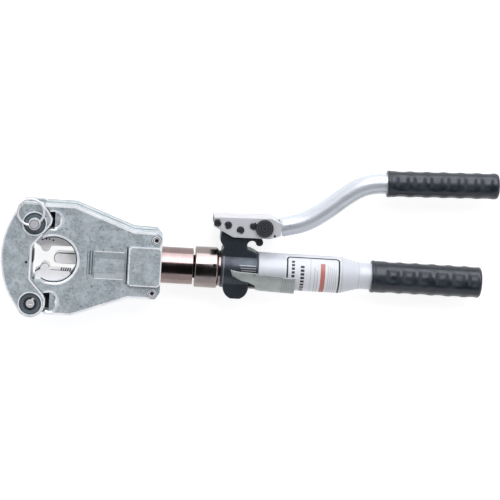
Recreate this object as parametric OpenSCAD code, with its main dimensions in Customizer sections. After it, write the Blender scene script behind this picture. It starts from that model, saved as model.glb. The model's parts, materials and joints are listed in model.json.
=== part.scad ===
// Manual hydraulic crimping tool with a flip-open head and four indentors.
// X runs along the tool axis (head at -X, handles at +X), +Y towards the
// moving handle, +Z through the front cover. Origin: ram axis at the crimp
// station, in the parting plane of the head. Millimetres.

/* [Head] */
// Half thickness of the head castings
head_half = 26; // [25:0.5:28]
// Height of the raised pads on the covers
pad_h = 3.2; // [2:0.2:4]
// Radius of the crimping window
window_r = 25.7; // [25:0.1:27]
// Distance of the crimping centre from the ram axis, towards the latch
die_y = 2.4; // [0:0.2:2.6]
// Outer radius of the yoke arch
yoke_r = 93; // [91:1:96]
// Radius of the ear round the hinge pin
ear_r = 15.4; // [15:0.2:15.6]
// Radius of the hinge pin and of the latch pin
pin_r = 6.35; // [5:0.05:6.5]
// Radial running clearance of the pins
pin_gap = 0.05; // [0.02:0.01:0.1]
// Half thickness of the frame lugs between the yoke cheeks
lug_half = 9.8; // [8:0.2:10]
// Outer radius of the pull ring, to the wire's middle
ring_r = 14.4; // [14:0.1:15.2]
// Radius of the pull ring wire
ring_wire = 1.25; // [0.9:0.05:1.3]

/* [Indentors] */
// Half thickness of the indentors
die_half = 9.5; // [8:0.1:9.5]
// Travel of the ram and of the side indentors
ram_stroke = 6; // [4:0.5:6]

/* [Ram and swivel] */
// Outer radius of the ram cylinder
cyl_r = 20.6; // [19:0.1:20.8]
// Bore radius of the ram cylinder
cyl_bore = 15; // [14:0.5:15.5]
// Outer radius of the swivel collar
collar_r = 23; // [21:0.5:23.5]
// Radius of the swivel spigot
spigot_r = 13; // [12.6:0.1:13]

/* [Pump] */
// Radius of the pump body
pump_r = 21.5; // [21:0.5:22]
// Radius of the pump plunger
plunger_r = 5; // [4:0.5:5]
// Distance from the lever fulcrum to the plunger, along X
plunger_arm = 14.0; // [13.8:0.1:14.4]

/* [Lever and handles] */
// Half width of the lever over its cheeks
lever_half = 19.5; // [19:0.5:20]
// Cheek thickness of the lever
cheek = 4; // [3:0.5:4]
// Outer radius of the upper handle tube
tube_r = 11.1; // [10:0.1:11.1]
// Outer radius of the upper grip
grip_up_r = 15; // [14:0.5:16]
// Outer radius of the reservoir tube
res_r = 20.5; // [20:0.5:21]
// Outer radius of the lower grip
grip_low_r = 18.25; // [17:0.25:18.5]

/* [Hidden] */
$fn = 64;
hx = -10.8; hy = -48.1;          // hinge pin
lx = -10.0; ly = 41.5;           // latch pin
fx = 203.0; fy = 51.5;           // lever fulcrum
px = fx + plunger_arm; py = 46.7; // plunger drive pin
cx = 2.8;                        // middle of the four noses
nose = 6.3;                      // rest distance of the side noses from the crimping centre
rest_y = head_half + pad_h;
ring_a = 19.5;                   // direction of the ring's cross hole
ring_z = 29.2;
rel_a = 33;                     // place of the release lever round the tube
rel_x = 236;
rel_tilt = 3;

module xcyl(x0, x1, r) { translate([x0, 0, 0]) rotate([0, 90, 0]) cylinder(r = r, h = x1 - x0); }
module zcyl(x, y, z0, z1, r) { translate([x, y, z0]) cylinder(r = r, h = z1 - z0); }
module ycyl(x, y0, y1, r) { translate([x, y0, 0]) rotate([-90, 0, 0]) cylinder(r = r, h = y1 - y0); }
module box(x0, x1, y0, y1, z0, z1) { translate([x0, y0, z0]) cube([x1 - x0, y1 - y0, z1 - z0]); }
module slab(z0, z1) { translate([0, 0, z0]) linear_extrude(height = z1 - z0) children(); }
module xring(x, r_in, r_out, w) { difference() { xcyl(x, x + w, r_out); xcyl(x - 1, x + w + 1, r_in); } }

// closed wire coil along Z, from z = 0 to z = h
module coil(r, w, turns, h, steps = 14, sides = 8) {
    n = turns * steps;
    pts = [for (i = [0:n]) let (a = i * 360 / steps, z = w + (h - 2 * w) * i / n)
        for (k = [0:sides - 1]) let (b = k * 360 / sides)
            [(r + w * cos(b)) * cos(a), (r + w * cos(b)) * sin(a), z + w * sin(b)]];
    faces = concat([[for (k = [0:sides - 1]) k]],
        [[for (k = [0:sides - 1]) n * sides + sides - 1 - k]],
        [for (i = [0:n - 1], k = [0:sides - 1]) let (a = i * sides + k, b = i * sides + (k + 1) % sides)
            [a, a + sides, b + sides, b]]);
    polyhedron(points = pts, faces = faces, convexity = 12);
}

// ---------------------------------------------------------------- head
module head_outline() {
    polygon([[-24, 63.2], [34, 63.2], [100, 39], [126, 38.6], [131.5, 32], [131.5, -28], [126, -35.8],
        [96, -35.8], [34, -58.8], [-24, -58.8]]);
}
// space that the yoke needs, with clearance
module yoke_space() {
    polygon([[-60, 90], [-0.9, 90], [-0.9, 64.6], [5.2, 57.6], [10.7, 47.5], [9.5, 41.1], [-0.7, 27.9],
        [-10.9, 15.6], [-11.2, -20.4], [2.9, -35.6], [6.2, -41.8], [6.2, -51], [hx, hy], [hx, -90], [-60, -90]]);
    translate([hx, hy]) circle(r = 18.3);
}
module window_2d() {
    translate([12.8, 2.7]) circle(r = window_r, $fn = 96);
    translate([-26, 2.7 - window_r]) square([38.8, 2 * window_r]);
}
module ear_slots() {
    translate([2, 36.4]) square([10.2, 19.2]);
    translate([-2, -54.5]) square([12, 19.5]);
}
module lug(x, y, up) {
    translate([x, y]) circle(r = 13);
    polygon(up ? [[x, y + 13], [26, 54], [26, 29.5], [14, 29.5], [-0.5, 30], [x - 6, y - 11.5]]
               : [[x, y - 12.4], [26, -58], [26, -26.5], [2, -27], [x - 3, y + 12.6]]);
}
// cavity of the carrier and of the side indentors, in the middle plane
module cavity_2d(g) {
    translate([0, die_y]) {
        translate([38.7 - g, -38 - g]) square([19.8 + 2 * g, 76 + 2 * g]);
        for (s = [-1, 1]) scale([1, s]) translate([-8.2 - g, 12]) square([55, 26 + g]);
        translate([10, -6.3 - g]) square([40, 12.6 + 2 * g]);
    }
}
module half_cover() {
    difference() {
        union() {
            difference() {
                slab(0, head_half) head_outline();
                translate([0, 0, -1]) linear_extrude(height = 40) { yoke_space(); ear_slots(); }
                // shallow scallops beside the ears
                for (p = [[11.2, 48.3], [11.2, 44.8], [10, -41.2], [10, -48.6]]) translate([p[0], p[1], head_half - 2])
                    cylinder(r1 = 6.8, r2 = 9.8, h = 2.2);
            }
            // raised pad over the ram cylinder
            difference() {
                slab(head_half - 2, head_half + pad_h) polygon([[98, -21.4], [128.5, -21.4], [131.5, -18.4], [131.5, 19.4],
                    [128.5, 22.4], [98, 22.4], [95.3, 19.7], [95.3, -18.7]]);
            }
            // rib over the return spring, with sloping flanks
            translate([57.8, 0, 0]) rotate([90, 0, 90]) linear_extrude(height = 33)
                polygon([[-15, head_half - 2], [-15, head_half], [-9.2, head_half + 2.4], [7.4, head_half + 2.4], [14.2, head_half], [14.2, head_half - 2]]);
            for (x = [50.2, 53.2, 56]) box(x, x + 1.5, -11.4, 15.2, head_half - 2, head_half + 1.3);
            // lugs between the yoke cheeks
            slab(0, lug_half) { lug(lx, ly, true); lug(hx, hy, false); }
        }
        translate([0, 0, -1]) linear_extrude(height = 60) window_2d();
        // ground edge of the window and groove beside the pad
        translate([12.8, 2.7, head_half - 1.5]) cylinder(r1 = window_r, r2 = window_r + 1.7, h = 1.6, $fn = 96);
        box(90.3, 94.3, -20.8, 21.6, head_half - 1.1, head_half + 5);
        slab(-1, die_half + 0.3) cavity_2d(0.3);
        // return spring chamber, rod guide and cylinder seat
        xcyl(62, 96, 12.5);
        xcyl(50, 70, 7.05);
        xcyl(95, 140, cyl_r);
        // pin seats
        zcyl(hx, hy, -1, 40, pin_r);
        // open seat of the latch pin, along its path
        slab(-1, lug_half + 1) {
            translate([lx, ly]) circle(r = pin_r + 0.35);
            rotate_about(hx, hy, 4) translate([lx, ly]) circle(r = pin_r + 0.35);
            polygon([[lx, ly + pin_r + 0.35], [lx - 22, ly + pin_r - 1.4], [lx - 22, ly - pin_r - 4.2], [lx, ly - pin_r - 0.35]]);
            translate([-40, 20]) square([31.6, ly - 20]);
        }
    }
}
module rotate_about(x, y, a) { translate([x, y]) rotate(a) translate([-x, -y]) children(); }
screw_xy = [[125, 30], [123, -29.3]];
module front_cover() {
    color([0.70, 0.73, 0.75]) difference() {
        half_cover();
        for (p = screw_xy) {
            zcyl(p[0], p[1], -1, 40, 3.05);
            zcyl(p[0], p[1], head_half - 5, 40, 5.4);
        }
    }
}
module rear_cover() {
    color([0.68, 0.71, 0.73]) difference() {
        mirror([0, 0, 1]) half_cover();
        for (p = screw_xy) zcyl(p[0], p[1], -20, 1, 3);
    }
}
module cover_screws() {
    color([0.62, 0.63, 0.65]) for (p = screw_xy) difference() {
        union() {
            zcyl(p[0], p[1], -18, head_half - 4.9, 3);
            zcyl(p[0], p[1], head_half - 5, head_half + 0.6, 5.2);
        }
        zcyl(p[0], p[1], head_half - 2.6, head_half + 2, 2.6, $fn = 6);
    }
}
module yoke_2d() {
    difference() {
        union() {
            intersection() {
                translate([yoke_r - 45.5, 4]) circle(r = yoke_r, $fn = 180);
                polygon([[-60, 64.4], [-2.2, 64.4], [4.2, 57.2], [9.6, 47.4], [8.4, 41.6], [-1.6, 28.6],
                    [-11.8, 16], [-12.1, -20.7], [2.2, -36.2], [5.3, -42.2], [5.3, -50.4], [hx + ear_r * cos(-35), hy + ear_r * sin(-35)], [hx, hy],
                    [hx + ear_r * cos(215), hy + ear_r * sin(215)], [-37.5, -39.5], [-60, -39.5]]);
            }
            translate([hx, hy]) circle(r = ear_r);
        }
    }
}
module yoke() {
    color([0.72, 0.75, 0.77]) difference() {
        union() {
            slab(-head_half, head_half) yoke_2d();
            zcyl(lx, ly, head_half - 1, head_half + 1, 13.6);
            zcyl(hx, hy, head_half - 1, head_half + 1, 13.6);
        }
        // clevis slots for the frame lugs
        slab(-lug_half - 0.5, lug_half + 0.5) {
            polygon([[-25, 22], [-9.6, 15.5], [20, 15.5], [20, 80], [-25, 80]]);
            translate([hx, hy]) circle(r = 19.6);
            translate([-40, -82]) square([60, 38]);
            translate([-9.8, -60]) square([40, 42]);
        }
        for (p = [[lx, ly], [hx, hy]]) {
            zcyl(p[0], p[1], -40, 40, pin_r + pin_gap);
            zcyl(p[0], p[1], head_half - 2.6, 40, 12.3);
        }
        zcyl(hx, hy, -40, -head_half + 2.6, 12.3);
        // seat of the yoke indentor
        box(-30, -5, die_y - 8, die_y + 8, -die_half - 0.1, die_half + 0.1);
        zcyl(-17.3, -1.9, 0, 40, 1.5);
    }
}
module hinge_pin() {
    color([0.80, 0.81, 0.82]) difference() {
        union() {
            zcyl(hx, hy, -head_half + 2.6, head_half - 2.6, pin_r);
            zcyl(hx, hy, -head_half - 0.2, head_half + 0.2, 4.65);
        }
        for (s = [-1, 1]) translate([hx, hy, s * (head_half - 2) - 0.55]) difference() {
            cylinder(r = 8, h = 1.1);
            translate([0, 0, -1]) cylinder(r = 4.1, h = 4);
        }
        translate([hx - 2.6, hy - 0.6, head_half - 0.7]) cube([5.2, 1.2, 3]);
    }
}
module hinge_pin_clips() {
    color([0.16, 0.17, 0.18]) for (s = [-1, 1]) translate([hx, hy, s * (head_half - 2) - 0.5]) difference() {
        cylinder(r = 7.3, h = 1);
        translate([0, 0, -1]) cylinder(r = 4.15, h = 4);
        rotate([0, 0, 60]) translate([0, -1.4, -1]) cube([12, 2.8, 4]);
    }
}
module latch_pin() {
    color([0.82, 0.83, 0.84]) difference() {
        union() {
            zcyl(lx, ly, -head_half + 1.1, ring_z + 3.4, pin_r);
            translate([lx, ly, -head_half + 0.1]) rotate_extrude() polygon([[0, 0], [pin_r - 1, 0], [pin_r, 1], [0, 1]]);
        }
        translate([lx, ly, ring_z]) rotate([0, 0, ring_a]) rotate([0, 90, 0]) translate([0, 0, -10]) cylinder(r = 2.25, h = 20);
    }
}
module pull_ring() {
    color([0.85, 0.86, 0.87]) translate([lx, ly, ring_z]) rotate([0, 0, ring_a]) translate([0, ring_r - 0.65, 0])
        rotate_extrude($fn = 72) translate([ring_r, 0]) circle(r = ring_wire, $fn = 24);
}
module yoke_indentor() {
    color([0.86, 0.87, 0.88]) difference() {
        slab(-die_half, die_half) translate([0, die_y]) polygon([[-30, -8], [-14, -8], [-10.3, -6.2], [-10.3, 6.2],
            [-14, 8], [-30, 8]]);
        zcyl(-17.3, -1.9, 3, 20, 1.5);
    }
}
module indentor_set_screw() {
    color([0.2, 0.2, 0.22]) difference() {
        zcyl(-17.3, -1.9, 3, head_half - 0.5, 1.5);
        zcyl(-17.3, -1.9, head_half - 2, head_half + 1, 0.8, $fn = 6);
    }
}
module ram_indentor() {
    color([0.86, 0.87, 0.88]) translate([0, die_y, 0]) slab(-die_half, die_half) {
        translate([18.3, 0]) circle(r = 6.3);
        translate([18.3, -6.3]) square([27.7, 12.6]);
    }
}
module side_indentor() {
    slab(-die_half, die_half) {
        translate([cx, nose + 5]) circle(r = 5);
        polygon([[cx - 5, nose + 5], [cx + 5, nose + 5], [cx + 5.8, 12.9], [31, 13.6], [31, 20], [9, 35.4], [-4, 35.4],
            [-8.2, 31], [-8.2, 15.2]]);
    }
}
module upper_indentor() { color([0.88, 0.89, 0.90]) translate([0, die_y, 0]) side_indentor(); }
module lower_indentor() { color([0.84, 0.83, 0.82]) translate([0, die_y, 0]) mirror([0, 1, 0]) side_indentor(); }
module ram_carrier() {
    color([0.55, 0.56, 0.58]) translate([0, die_y, 0]) slab(-die_half, die_half) {
        translate([46, -37.8]) square([12, 75.6]);
        for (s = [-1, 1]) scale([1, s])
            polygon([[11.8, 33.94], [11.8, 37.8], [46.5, 37.8], [46.5, 21], [32, 20.3], [31.3, 20.29]]);
    }
}
module ram_piston() {
    color([0.80, 0.80, 0.80]) difference() {
        union() {
            xcyl(58, 103, 7);
            xcyl(101.6, 114, cyl_bore - 0.05);
        }
        difference() { xcyl(105, 109, 20); xcyl(104, 110, cyl_bore - 2); }
    }
}
module piston_seal() { color([0.10, 0.10, 0.11]) xring(105.2, cyl_bore - 2, cyl_bore - 0.05, 3.6); }
module return_spring() {
    color([0.60, 0.61, 0.62]) translate([62, 0, 0]) rotate([0, 90, 0]) coil(10, 1.2, 6, 37.8);
}
module ram_cylinder() {
    color([0.36, 0.27, 0.25]) difference() {
        union() {
            xcyl(95, 167, cyl_r);
            xcyl(166, 185, spigot_r);
        }
        xcyl(94, 150, cyl_bore);
        xcyl(149, 200, 2.5);
        difference() { xcyl(180, 182.2, 20); xcyl(179, 183, spigot_r - 1.5); }
        difference() { xcyl(174, 176.4, 20); xcyl(173, 177, spigot_r - 1.8); }
    }
}
module swivel_retainer() { color([0.3, 0.3, 0.32]) xring(180.2, spigot_r - 1.5, 14.6, 1.8); }
module swivel_seal() { color([0.08, 0.08, 0.08]) xring(174.1, spigot_r - 1.8, spigot_r - 0.02, 2.2); }
module swivel_collar() {
    color([0.40, 0.33, 0.31]) difference() {
        translate([169, 0, 0]) rotate([0, 90, 0]) rotate_extrude($fn = 96)
            polygon([[12, 0], [collar_r - 0.8, 0], [collar_r, 0.8], [collar_r, 24.4], [collar_r - 1.6, 26], [12, 26]]);
        xcyl(168, 186.4, spigot_r + pin_gap);
        xcyl(179.7, 182.5, 15);
        rotate([-13, 0, 0]) zcyl(190.6, 0, 12.5, 30, 2.2);
    }
}
module collar_set_screw() {
    color([0.12, 0.12, 0.13]) rotate([-13, 0, 0]) difference() {
        zcyl(190.6, 0, 12.6, 21.4, 2.2);
        zcyl(190.6, 0, 19.4, 23, 1.1, $fn = 6);
    }
}
module lock_ring() { color([0.30, 0.27, 0.27]) xring(195, 12, 20.2, 3); }

// ---------------------------------------------------------------- pump
module rel_frame() { translate([rel_x, 0, 0]) rotate([rel_a, 0, 0]) translate([0, 0, 23.4]) children(); }
module pump_block() {
    color([0.22, 0.24, 0.27]) difference() {
        union() {
            xcyl(187, 239, 12);
            xcyl(198, 239.2, pump_r);
            xcyl(239, 246, 18.4);
            // post with the lever fulcrum
            slab(-14.8, 14.8) {
                polygon([[198.5, 5], [198.5, 22.2], [200.3, 25.4], [195.9, 32.2], [195.9, 41.1], [198.4, 49], [fx, fy],
                    [208.4, 49], [210.4, 37.1], [235.5, 37.1], [238.6, 35.9], [238.6, 33.4], [231.2, 34.6], [226, 30], [226.6, 24.6],
                    [231.5, 23.4], [237.6, 20.6], [237.6, 5]]);
                translate([fx, fy]) circle(r = 5.2);
            }
            // valve boss
            intersection() {
                zcyl(215.6, -18.4, -15, 15, 14.3);
                box(199, 240, -31.8, 0, -20, 20);
            }
        }
        // clear space right of the post
        zcyl(231.2, 29.2, -20, 20, 5.2);
        // swivel passage
        xcyl(180, 204, 2.5);
        xcyl(203, 213.5, 4.2);
        xcyl(213, 223, 2);
        xcyl(222.6, 232, 4.2);
        xcyl(231, 250, 2.5);
        // plunger bore
        ycyl(px, 3, 60, plunger_r + 0.05);
        ycyl(px, 27, 32, plunger_r + 1.9);
        // fulcrum pin and bumper stud
        zcyl(fx, fy, -30, 30, 3);
        zcyl(239.5, 32.9, -20, 20, 4.25);
        box(234.4, 240, 30, 35.1, -3.1, 3.1);
        // relief valve bore
        ycyl(215.6, -40, -16, 7);
        ycyl(215.6, -17, -2, 2);
        // groove of the release lever
        rel_frame() box(-6.5, 3.6, -6.4, 6.4, -4.2, 9);
        rotate([12, 0, 0]) zcyl(212.5, 0, 6, 30, 2.05);
    }
}
module release_bracket() {
    color([0.25, 0.27, 0.29]) rel_frame() difference() {
        union() {
            box(-4.2, 2.9, -5.2, 5.2, -4.2, -4.0);
            for (y = [-4.6, 2.9]) box(-3, 1.5, y, y + 1.7, -4.2, -2.26);
        }
        translate([0, 0, -3]) rotate([90, 0, 0]) translate([0, 0, -10]) cylinder(r = 0.6, h = 20);
    }
}
module pump_plunger() {
    color([0.78, 0.79, 0.80]) difference() {
        union() {
            ycyl(px, 5, 44, plunger_r);
            box(px - 6.6, px + 6.6, 40, 52.6, -6, 6);
        }
        hull() for (d = [-1.2, 1.2]) zcyl(px + d + 0.3, py, -10, 10, 3.25, $fn = 32);
    }
}
module plunger_seal() {
    color([0.08, 0.08, 0.08]) difference() {
        ycyl(px, 27.2, 31.8, plunger_r + 1.85);
        ycyl(px, 20, 40, plunger_r + 0.04);
    }
}
module suction_ball() { color([0.85, 0.85, 0.86]) translate([226.9, 0, 0]) sphere(r = 4.1, $fn = 48); }
module pressure_ball() { color([0.85, 0.85, 0.86]) translate([207.4, 0, 0]) sphere(r = 4.1, $fn = 48); }
module relief_valve() {
    color([0.35, 0.36, 0.38]) difference() {
        ycyl(215.6, -32.9, -17.5, 7);
        translate([215.6, -33.8, 0]) rotate([-90, 0, 0]) cylinder(r = 3, h = 6, $fn = 6);
    }
}
module stop_bumper() {
    color([0.17, 0.18, 0.19]) difference() {
        union() {
            zcyl(239.5, 32.9, -13, 13, 4.2);
            box(234.5, 239.5, 31.6, 35, -3, 3);
        }
        box(230, 245, 20, 45, -30, -12.9);
    }
}
module release_valve_stem() {
    color([0.75, 0.75, 0.76]) rotate([12, 0, 0]) zcyl(212.5, 0, 7.5, 21.6, 2);
}
// part of a ring round the tube axis, from angle a0 to a1 (from +Z towards -Y)
module rel_shell(x0, x1, r0, r1, a0, a1) {
    translate([x0, 0, 0]) rotate([90, 0, 90]) linear_extrude(height = x1 - x0) difference() {
        intersection() {
            circle(r = r1, $fn = 120);
            polygon([[0, 0], for (k = [0:4]) let (a = a0 + (a1 - a0) * k / 4) [-60 * sin(a), 60 * cos(a)]]);
        }
        circle(r = r0, $fn = 120);
    }
}
module release_lever() {
    color([0.80, 0.82, 0.80]) {
        difference() {
            union() {
                // blade lying on the pump block
                intersection() {
                    rel_shell(205, 243, 21.75, 23.2, -20, 75);
                    rotate([16, 0, 0]) linear_extrude(height = 40) polygon([[208.6, 8.2], [218.6, 6.3], [228, 6.1], [243, 5.2], [243, -18.6],
                        [238.6, -18.6], [237, -9.8], [228.9, -5.6], [220.8, -3.8], [215.8, -0.8], [210.8, 2.4]]);
                }
                // eye on the pivot
                rel_frame() box(-2.2, 2.2, -2.4, 2.4, -3.8, -1.4);
                // shell along the tube
                rel_frame() translate([0, 0, -3]) rotate([0, -rel_tilt, 0]) translate([-rel_x, 0, 3 - 23.4]) rotate([-rel_a, 0, 0]) {
                    rel_shell(241, 281.6, 21.75, 23.2, 5, 73);
                    rel_shell(267.2, 280.4, 22, 24, 6, 62);
                }
            }
            rel_frame() translate([0, 0, -3]) rotate([90, 0, 0]) translate([0, 0, -20]) cylinder(r = 0.65, h = 40);
        }
    }
}
module release_lever_pin() {
    color([0.6, 0.6, 0.62]) rel_frame() translate([0, 0, -3]) rotate([90, 0, 0]) translate([0, 0, -4.5]) cylinder(r = 0.6, h = 9);
}

// ---------------------------------------------------------------- lever
module fork_2d() {
    polygon([[187, 60], [250.6, 61.9], [262.3, 56.5], [262.3, 42.5], [250.2, 38.3], [209.6, 37.9], [197.1, 44.1], [187.2, 49.6]]);
}
module lever_fork() {
    color([0.80, 0.81, 0.82]) difference() {
        union() {
            for (s = [-1, 1]) scale([1, 1, 1]) translate([0, 0, s > 0 ? lever_half - cheek : -lever_half])
                linear_extrude(height = cheek) fork_2d();
            slab(-lever_half + 1, lever_half - 1) polygon([[187, 60], [250.6, 61.9], [250.6, 59.6], [187, 57.9]]);
            slab(-lever_half + 1, lever_half - 1) intersection() {
                fork_2d();
                translate([236, 30]) square([40, 40]);
            }
        }
        translate([237.5, 49.3, 0]) rotate([0, 90, 0]) cylinder(r = 9, h = 40);
        for (p = [[fx, fy, 3.05], [px, py, 3], [191.2, 53.5, 3], [231.3, 51.9, 3], [243.6, 50.2, 4]])
            zcyl(p[0], p[1], -40, 40, p[2]);
        zcyl(255.5, 41.9, 10, 40, 1.2);
    }
}
module fulcrum_pin() { color([0.45, 0.46, 0.48]) zcyl(fx, fy, -20.6, 20.6, 3); }
module drive_pin() { color([0.45, 0.46, 0.48]) zcyl(px, py, -20.6, 20.6, 3); }
module lever_spacer_pins() {
    color([0.45, 0.46, 0.48]) { zcyl(191.2, 53.5, -20.6, 20.6, 3); zcyl(231.3, 51.9, -20.6, 20.6, 3); }
}
module e_clip(x, y, a) {
    translate([x, y, 0]) rotate([0, 0, a]) difference() {
        cylinder(r = 4.2, h = 0.9);
        translate([0, 0, -1]) cylinder(r = 3, h = 3);
        translate([0, -1.6, -1]) cube([6, 3.2, 3]);
    }
}
clip_at = [[px, py, 250], [191.2, 53.5, 30], [231.3, 51.9, 100]];
module pin_clips() {
    color([0.18, 0.18, 0.20]) for (c = clip_at) {
        translate([0, 0, lever_half + 0.05]) e_clip(c[0], c[1], c[2]);
        translate([0, 0, -lever_half - 0.95]) e_clip(c[0], c[1], c[2]);
    }
}
module fulcrum_clips() {
    color([0.18, 0.18, 0.20]) for (z = [lever_half + 0.05, -lever_half - 0.95]) translate([0, 0, z]) e_clip(fx, fy, 200);
}
module handle_bolt() {
    color([0.27, 0.28, 0.29]) difference() {
        union() {
            zcyl(243.6, 50.2, -lever_half - 2.6, lever_half + 1, 4);
            zcyl(243.6, 50.2, lever_half + 0.05, lever_half + 1.2, 7.5);
            zcyl(243.6, 50.2, lever_half + 1.2, lever_half + 3.4, 9.9);
            zcyl(243.6, 50.2, -lever_half - 3.2, -lever_half - 0.05, 7.4);
        }
        zcyl(243.6, 50.2, -lever_half - 4, -lever_half - 1.4, 3, $fn = 6);
    }
}
module lever_set_screw() { color([0.1, 0.1, 0.1]) zcyl(255.5, 41.9, 12, lever_half - 0.4, 1.2); }

// centre line of the bent handle tube
hp = [[259, 49.2], [268, 51.3], [277, 53.6], [286, 56.3], [294.5, 60.2], [302.5, 65.1], [311, 71.2], [320, 78.4], [329, 85.8],
    [337.5, 92.4], [345.5, 97.8], [353, 101.4], [361, 103.8], [369, 105.2], [378, 105.9], [440, 108.1], [499, 110.16]];
function cr(a, b, c, d, t) = 0.5 * ((2 * b) + (c - a) * t + (2 * a - 5 * b + 4 * c - d) * t * t + (3 * b - a - 3 * c + d) * t * t * t);
function path_at(u) = let (i = min(floor(u), len(hp) - 2), t = u - i, a = hp[max(i - 1, 0)], b = hp[i], c = hp[i + 1],
    d = hp[min(i + 2, len(hp) - 1)]) cr(a, b, c, d, t);
module tube_sweep(r, sides = 28) {
    us = concat([for (u = [0:0.5:14]) u], [15, 16]);
    n = len(us);
    pts = [for (i = [0:n - 1]) let (p = path_at(us[i]), e = 0.02,
        q = path_at(min(us[i] + e, 16)) - path_at(max(us[i] - e, 0)), l = norm(q), t = q / l)
        for (k = [0:sides - 1]) let (b = k * 360 / sides) [p[0] - t[1] * r * cos(b), p[1] + t[0] * r * cos(b), r * sin(b)]];
    faces = concat([[for (k = [0:sides - 1]) k]],
        [[for (k = [0:sides - 1]) (n - 1) * sides + sides - 1 - k]],
        [for (i = [0:n - 2], k = [0:sides - 1]) let (a = i * sides + k, b = i * sides + (k + 1) % sides)
            [a, a + sides, b + sides, b]]);
    polyhedron(points = pts, faces = faces, convexity = 6);
}
module handle_tube() {
    color([0.78, 0.80, 0.82]) difference() {
        union() {
            difference() { tube_sweep(tube_r); box(200, 262.6, 0, 100, -30, 30); }
            translate([238, 49.3, 0]) rotate([0, 90, 0]) cylinder(r = 9, h = 27);
        }
        zcyl(243.6, 50.2, -20, 20, 4);
    }
}
module grip_up_frame() { translate([379.6, 105.95, 0]) rotate([0, 0, 2.02]) children(); }
module upper_grip() {
    color([0.13, 0.15, 0.17]) grip_up_frame() difference() {
        rotate([0, 90, 0]) rotate_extrude($fn = 96) polygon([[0, -1], [grip_up_r - 0.8, -1], [grip_up_r, 0.5], [grip_up_r, 123.4], [grip_up_r - 2, 125.4], [0, 125.4]]);
        xcyl(-3, 120.8, tube_r + 0.05);
    }
}
module reservoir_tube() {
    color([0.88, 0.89, 0.90]) difference() {
        translate([239.3, 0, 0]) rotate([0, 90, 0]) rotate_extrude($fn = 120)
            polygon([[18.4, 0], [res_r, 0], [res_r, 95.6], [14.9, 114], [14.9, 129.6], [12.4, 129.6], [12.4, 246], [0, 246],
                [0, 113], [10, 113], [18.4, 92]]);
    }
}
module reservoir_bladder() {
    color([0.12, 0.12, 0.12]) translate([248, 0, 0]) rotate([0, 90, 0]) rotate_extrude($fn = 64)
        polygon([[0, 0], [15, 0], [17.6, 3], [17.6, 74], [14, 80], [0, 80]]);
}
module label_plate() {
    color([0.93, 0.93, 0.92]) intersection() {
        translate([270, 0, 0]) rotate([0, 90, 0]) rotate_extrude($fn = 120) polygon([[res_r + 0.02, 0], [res_r + 0.32, 0], [res_r + 0.32, 62.6], [res_r + 0.02, 62.6]]);
        // sector from the upper edge round the front to below the tube
        translate([265, 0, 0]) rotate([90, 0, 90]) linear_extrude(height = 75)
            polygon([[0, 0], [40 * sin(69), 40 * cos(69)], [40, 60], [-40, 60], [-60, 0], [40 * sin(-100), 40 * cos(-100)]]);
    }
}
module lower_grip() {
    color([0.13, 0.15, 0.17]) difference() {
        translate([369, 0, 0]) rotate([0, 90, 0]) rotate_extrude($fn = 96)
            polygon([[0, 0], [grip_low_r - 0.8, 0], [grip_low_r, 1.4], [grip_low_r, 121.2], [grip_low_r - 3, 124.4], [0, 124.4]]);
        xcyl(360, 485.4, 12.4);
    }
}

front_cover();
rear_cover();
cover_screws();
yoke();
hinge_pin();
hinge_pin_clips();
latch_pin();
pull_ring();
yoke_indentor();
indentor_set_screw();
ram_indentor();
upper_indentor();
lower_indentor();
ram_carrier();
ram_piston();
piston_seal();
return_spring();
ram_cylinder();
swivel_retainer();
swivel_seal();
swivel_collar();
collar_set_screw();
lock_ring();
pump_block();
pump_plunger();
plunger_seal();
suction_ball();
pressure_ball();
relief_valve();
stop_bumper();
release_valve_stem();
release_lever();
release_lever_pin();
release_bracket();
lever_fork();
fulcrum_pin();
fulcrum_clips();
drive_pin();
lever_spacer_pins();
pin_clips();
handle_bolt();
lever_set_screw();
handle_tube();
upper_grip();
reservoir_tube();
reservoir_bladder();
label_plate();
lower_grip();
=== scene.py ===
import json
import math

import bmesh
import bpy
from mathutils import Matrix, Vector

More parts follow.
